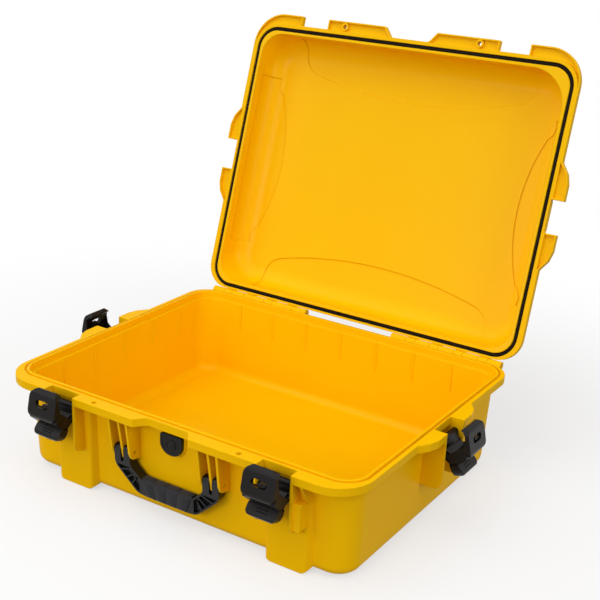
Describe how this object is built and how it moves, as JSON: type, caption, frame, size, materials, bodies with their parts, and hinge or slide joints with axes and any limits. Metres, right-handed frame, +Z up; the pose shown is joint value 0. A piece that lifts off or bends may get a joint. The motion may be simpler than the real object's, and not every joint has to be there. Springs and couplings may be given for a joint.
{
  "type": "hinged protective case with draw latches",
  "caption": "Moulded hard case with a hinged lid standing open, draw latches on the front and both ends, a fold-down handle and a pressure valve.",
  "frame": {"origin": "on the floor plane, under the middle of the sealing rim", "axes": "+Z up, -Y towards the handle side, +X along the long side to the right seen from the handle side"},
  "size_m": [0.7024, 0.7172, 0.6239],
  "materials": {
    "shell_yellow": "moulded, satin gloss",
    "black_plastic": "satin moulded",
    "grip_rubber": "matt overmoulded",
    "seal_rubber": "matt",
    "pin_steel": "drawn"
  },
  "bodies": {
    "base": {"base_shell": "shell_yellow", "hinge_pin_left": "pin_steel", "hinge_pin_right": "pin_steel", "handle_pin_left": "pin_steel", "handle_pin_right": "pin_steel", "handle_spring_left": "pin_steel", "handle_spring_right": "pin_steel", "valve_cover": "black_plastic", "valve_body": "black_plastic", "valve_ring": "seal_rubber", "valve_membrane": "seal_rubber", "valve_nut": "black_plastic", "lever_pin_front_left": "pin_steel", "lever_pin_front_right": "pin_steel", "lever_pin_right": "pin_steel", "lever_pin_left": "pin_steel"},
    "lid": {"lid_shell": "shell_yellow", "lid_gasket": "seal_rubber"},
    "handle": {"handle_frame": "black_plastic", "handle_grip": "grip_rubber"},
    "lever_front_left": {"lever_front_left": "black_plastic", "claw_pin_front_left": "pin_steel"},
    "claw_front_left": {"claw_front_left": "black_plastic"},
    "lock_front_left": {"slide_lock_front_left": "black_plastic"},
    "lever_front_right": {"lever_front_right": "black_plastic", "claw_pin_front_right": "pin_steel"},
    "claw_front_right": {"claw_front_right": "black_plastic"},
    "lock_front_right": {"slide_lock_front_right": "black_plastic"},
    "lever_right": {"lever_right": "black_plastic", "claw_pin_right": "pin_steel"},
    "claw_right": {"claw_right": "black_plastic"},
    "lock_right": {"slide_lock_right": "black_plastic"},
    "lever_left": {"lever_left": "black_plastic", "claw_pin_left": "pin_steel"},
    "claw_left": {"claw_left": "black_plastic"},
    "lock_left": {"slide_lock_left": "black_plastic"}
  },
  "joints": [
    {"name": "lid_hinge", "type": "hinge", "parent": "base", "child": "lid", "pos_m": [0, 0.242, 0.15], "axis": [1, 0, 0], "range_deg": [0, 107]},
    {"name": "handle_pivot", "type": "hinge", "parent": "base", "child": "handle", "pos_m": [0, -0.2355, 0.091], "axis": [-1, 0, 0], "range_deg": [0, 94], "stiffness_Nm_per_rad": 0.05, "springref_deg": -20.05},
    {"name": "lever_front_left_pivot", "type": "hinge", "parent": "base", "child": "lever_front_left", "pos_m": [-0.1835, -0.242, 0.133], "axis": [-1, 0, 0], "range_deg": [-20, 48]},
    {"name": "claw_front_left_pivot", "type": "hinge", "parent": "lever_front_left", "child": "claw_front_left", "pos_m": [-0.1835, -0.24726, 0.12001], "axis": [1, 0, 0], "range_deg": [-68, 0]},
    {"name": "lock_front_left_slide", "type": "slide", "parent": "claw_front_left", "child": "lock_front_left", "axis": [1, 0, 0], "range_m": [-0.007, 0]},
    {"name": "lever_front_right_pivot", "type": "hinge", "parent": "base", "child": "lever_front_right", "pos_m": [0.1835, -0.242, 0.133], "axis": [-1, 0, 0], "range_deg": [-20, 48]},
    {"name": "claw_front_right_pivot", "type": "hinge", "parent": "lever_front_right", "child": "claw_front_right", "pos_m": [0.1835, -0.24726, 0.12001], "axis": [1, 0, 0], "range_deg": [-68, 0]},
    {"name": "lock_front_right_slide", "type": "slide", "parent": "claw_front_right", "child": "lock_front_right", "axis": [1, 0, 0], "range_m": [-0.007, 0]},
    {"name": "lever_right_pivot", "type": "hinge", "parent": "base", "child": "lever_right", "pos_m": [0.303, 0, 0.133], "axis": [0, -1, 0], "range_deg": [-20, 48]},
    {"name": "claw_right_pivot", "type": "hinge", "parent": "lever_right", "child": "claw_right", "pos_m": [0.30826, 0, 0.12001], "axis": [0, 1, 0], "range_deg": [-68, 0]},
    {"name": "lock_right_slide", "type": "slide", "parent": "claw_right", "child": "lock_right", "axis": [0, 1, 0], "range_m": [-0.007, 0]},
    {"name": "lever_left_pivot", "type": "hinge", "parent": "base", "child": "lever_left", "pos_m": [-0.303, 0, 0.133], "axis": [0, 1, 0], "range_deg": [-20, 48]},
    {"name": "claw_left_pivot", "type": "hinge", "parent": "lever_left", "child": "claw_left", "pos_m": [-0.30826, 0, 0.12001], "axis": [0, -1, 0], "range_deg": [-68, 0]},
    {"name": "lock_left_slide", "type": "slide", "parent": "claw_left", "child": "lock_left", "axis": [0, -1, 0], "range_m": [-0.007, 0]}
  ]
}
